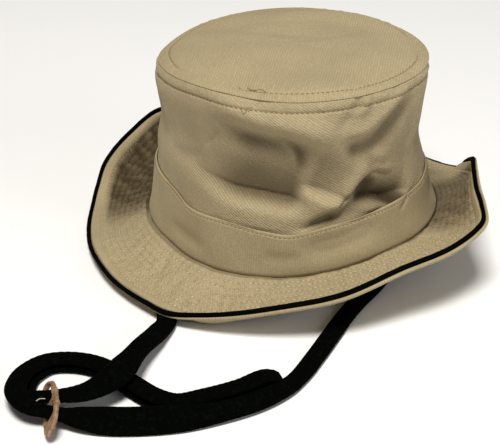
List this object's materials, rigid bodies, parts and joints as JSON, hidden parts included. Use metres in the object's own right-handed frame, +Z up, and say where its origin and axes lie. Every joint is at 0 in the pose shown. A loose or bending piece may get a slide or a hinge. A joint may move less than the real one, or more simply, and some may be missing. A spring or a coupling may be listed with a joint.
{
  "type": "jungle hat",
  "caption": "Soft cotton sun hat with a flat oval crown, a band, a wavy quilted brim with a piped edge, and a flat chin lace gathered by a leather slide, resting on its brim.",
  "frame": {"origin": "on the ground under the middle of the hat's box, the chin lace left out", "axes": "+Z up through the crown, -Y the side where the chin lace lies in front of the brim, +X to the right of it"},
  "size_m": [0.2724, 0.4029, 0.1283],
  "materials": {
    "khaki_twill": "matt cotton twill",
    "black_piping": "matt woven binding over a cord",
    "black_lace": "soft flat braid",
    "tan_leather": "rough raw-edged leather"
  },
  "bodies": {
    "root": {"crown_tip": "khaki_twill", "crown_side": "khaki_twill", "hat_band": "khaki_twill", "brim": "khaki_twill", "edge_piping": "black_piping", "chin_lace": "black_lace", "lace_slide": "tan_leather"}
  },
  "joints": []
}
